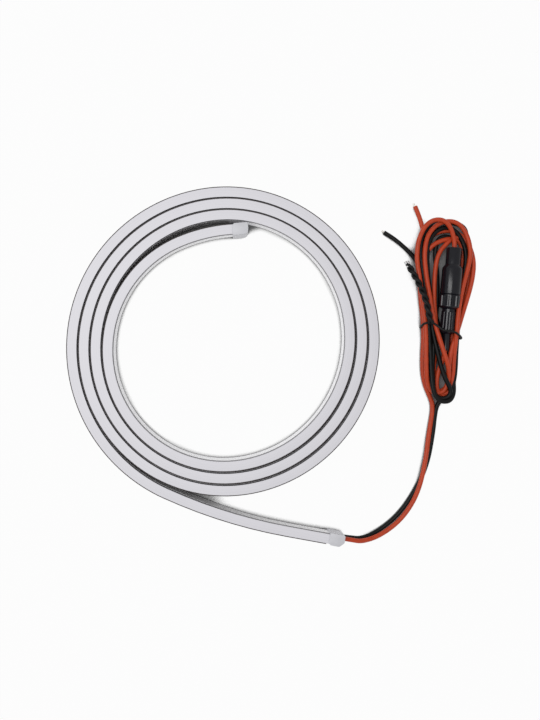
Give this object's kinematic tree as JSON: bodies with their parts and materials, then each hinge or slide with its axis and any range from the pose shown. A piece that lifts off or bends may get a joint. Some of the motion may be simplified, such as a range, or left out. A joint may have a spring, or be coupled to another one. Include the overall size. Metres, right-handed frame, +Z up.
{
  "type": "led hood light strip",
  "caption": "White silicone light strip coiled on its edge, with moulded end boots, a red and a black lead, and a tied wire hank with an in-line fuse holder.",
  "frame": {"origin": "under the middle of the coiled strip with its tape and boots, on the surface it stands on", "axes": "+Z up, along the coil's axis; +X to the right and +Y to the top of the picture"},
  "size_m": [0.1962, 0.1705, 0.0131],
  "materials": {
    "silicone": "matte white silicone",
    "boot": "smooth white silicone",
    "tape": "brown release liner",
    "circuit": "white solder mask",
    "led": "yellow phosphor",
    "resistor": "black",
    "solder": "satin",
    "tinned_copper": "tinned strands",
    "red_wire": "satin red insulation",
    "black_wire": "satin black insulation",
    "hank": "red and black wire side by side",
    "tie": "black coated wire",
    "holder": "moulded black",
    "fuse_glass": "clear",
    "fuse_metal": "bright nickel",
    "fuse_wire": "bright",
    "contact": "satin",
    "spring": "spring steel"
  },
  "bodies": {
    "root": {"strip_sleeve": "silicone", "adhesive_tape": "tape", "inner_end_boot": "boot", "lead_end_boot": "boot", "led_ribbon": "circuit", "led_chips": "led", "resistor_chips": "resistor", "solder_joints": "solder", "lead_conductors": "tinned_copper", "red_lead": "red_wire", "black_lead": "black_wire", "wire_hank": "hank", "red_free_end": "red_wire", "black_free_end": "black_wire", "red_bare_tip": "tinned_copper", "black_bare_tip": "tinned_copper", "twist_tie": "tie", "fuse_holder_body": "holder", "fuse_holder_cap": "holder", "fuse_wire_foot": "red_wire", "fuse_wire_top": "red_wire", "fuse_glass": "fuse_glass", "fuse_end_caps": "fuse_metal", "fuse_element": "fuse_wire", "body_contact": "contact", "cap_contact": "contact", "contact_spring": "spring"}
  },
  "joints": []
}
